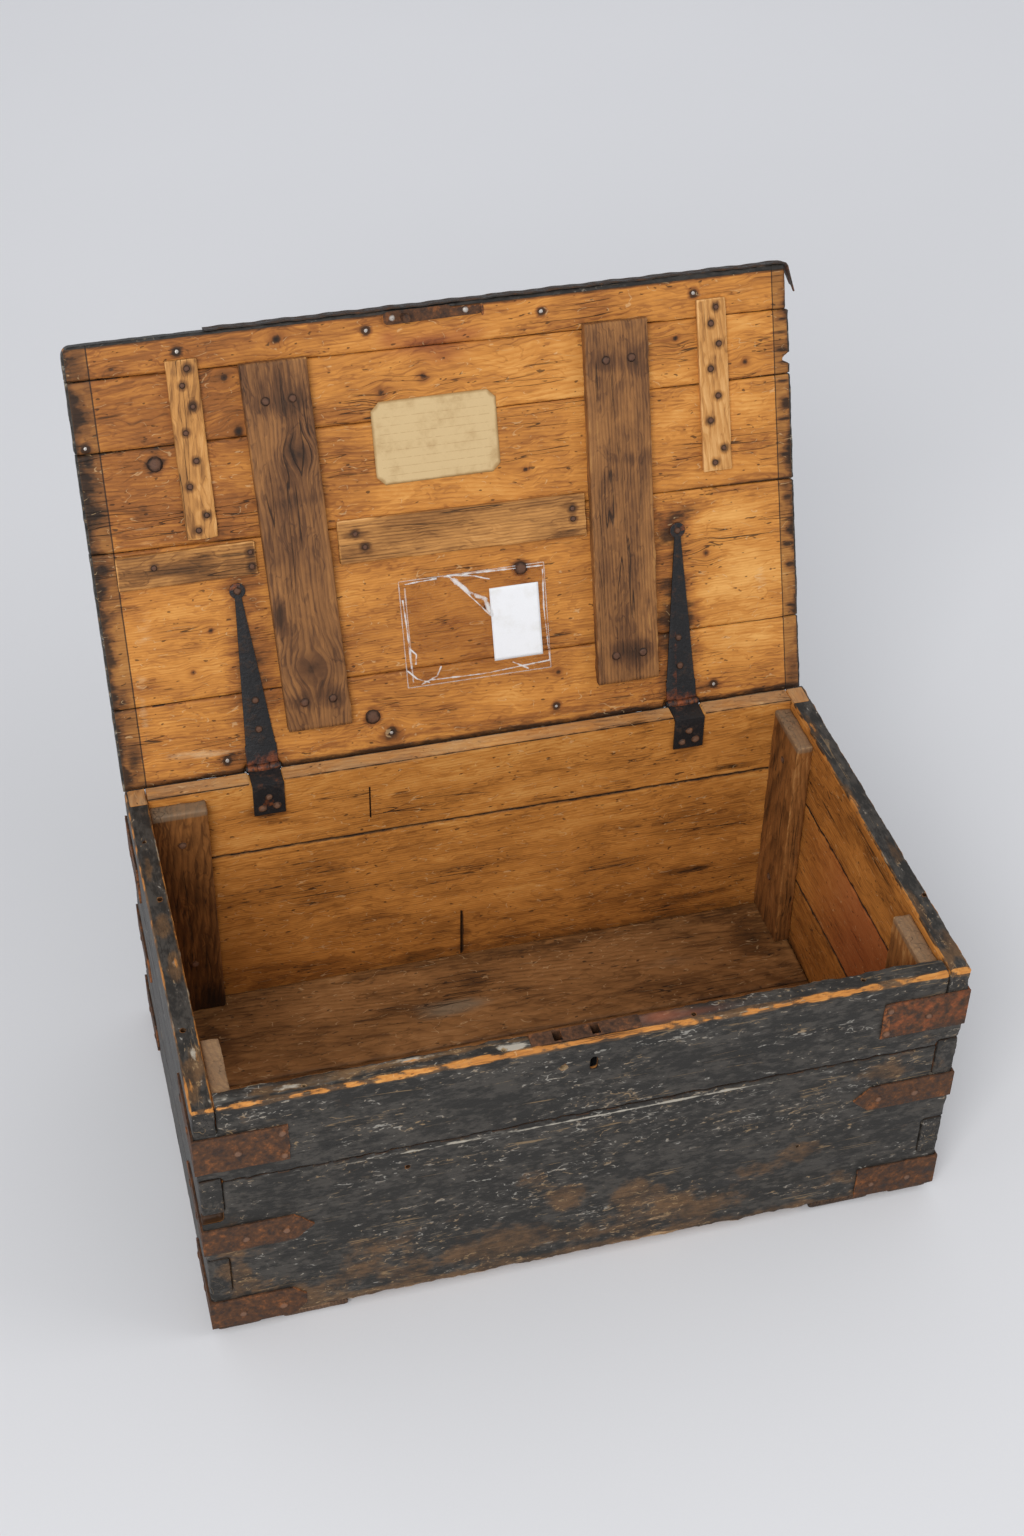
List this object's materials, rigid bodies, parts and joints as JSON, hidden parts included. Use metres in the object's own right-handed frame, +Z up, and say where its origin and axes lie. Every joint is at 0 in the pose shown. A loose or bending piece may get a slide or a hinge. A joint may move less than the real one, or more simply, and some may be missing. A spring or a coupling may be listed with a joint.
{
  "type": "sea chest",
  "caption": "Long low sailor's chest of nailed pine boards with a flat hinged lid swung back, strap hinges, corner irons, inside lock and skids.",
  "frame": {"origin": "on the ground under the middle of the box, level with the undersides of the skids", "axes": "+X to the right along the front, +Y from the front to the back, +Z up; metres"},
  "size_m": [0.9119, 0.7734, 0.9002],
  "materials": {
    "painted_wood": "dark slate-grey paint, worn through to bare pine on the arrises and inside",
    "floor_wood": "bare amber pine, dull",
    "skid_wood": "worn dark brown wood",
    "post_wood": "bare brown pine, dull",
    "lid_wood": "amber pine with dark stains, dull",
    "batten_wood": "dark weathered wood",
    "strip_wood": "brown pine, dull",
    "old_iron": "black forged iron with rust spots",
    "rusty_iron": "rust-brown iron",
    "bright_steel": "worn bright nail heads",
    "brass_film": "yellowed clear film",
    "paper": "aged paper",
    "card": "white card",
    "edging": "dark worn edging strip"
  },
  "bodies": {
    "chest": {"front_board_lower": "painted_wood", "front_board_upper": "painted_wood", "back_board_lower": "painted_wood", "back_board_upper": "painted_wood", "left_board_lower": "painted_wood", "left_board_middle": "painted_wood", "left_board_upper": "painted_wood", "right_board_lower": "painted_wood", "right_board_middle": "painted_wood", "right_board_upper": "painted_wood", "floor_board_front": "floor_wood", "floor_board_middle": "floor_wood", "floor_board_rear": "floor_wood", "outer_skids": "skid_wood", "inner_skids": "skid_wood", "post_front_left": "post_wood", "post_front_right": "post_wood", "post_rear_left": "post_wood", "post_rear_right": "post_wood", "hinge_leaf_left": "old_iron", "hinge_leaf_right": "old_iron", "hinge_pins": "old_iron", "lock_spring": "old_iron", "lock_cap": "old_iron", "key_pin": "old_iron", "front_left_irons": "rusty_iron", "front_right_irons": "rusty_iron", "rear_left_irons": "rusty_iron", "rear_right_irons": "rusty_iron", "lock_plate": "rusty_iron", "leaf_nails": "rusty_iron", "post_nails": "rusty_iron", "iron_nails": "bright_steel", "lock_nails": "bright_steel"},
    "lid": {"lid_board_rear": "lid_wood", "lid_board_lower": "lid_wood", "lid_board_middle": "lid_wood", "lid_board_upper": "lid_wood", "lid_board_front": "lid_wood", "wide_batten_left": "batten_wood", "wide_batten_right": "batten_wood", "narrow_batten_left": "strip_wood", "narrow_batten_right": "strip_wood", "seam_strip_left": "strip_wood", "seam_strip_centre": "strip_wood", "hinge_strap_left": "old_iron", "hinge_strap_right": "old_iron", "link_plate": "rusty_iron", "link_staple": "rusty_iron", "edging_strip": "edging", "paper_label": "paper", "card_pocket": "brass_film", "blank_card": "card", "batten_nails": "rusty_iron", "strap_rivets": "bright_steel", "rose_nails": "old_iron", "edge_tacks": "bright_steel", "link_rivets": "bright_steel"},
    "bolt": {"lock_bolt": "old_iron"}
  },
  "joints": [
    {"name": "lid_hinge", "type": "hinge", "parent": "chest", "child": "lid", "pos_m": [0, 0.281, 0.3811], "axis": [1, 0, 0], "range_deg": [0, 110]},
    {"name": "bolt_throw", "type": "slide", "parent": "chest", "child": "bolt", "axis": [-1, 0, 0], "range_m": [0, 0.01]}
  ]
}
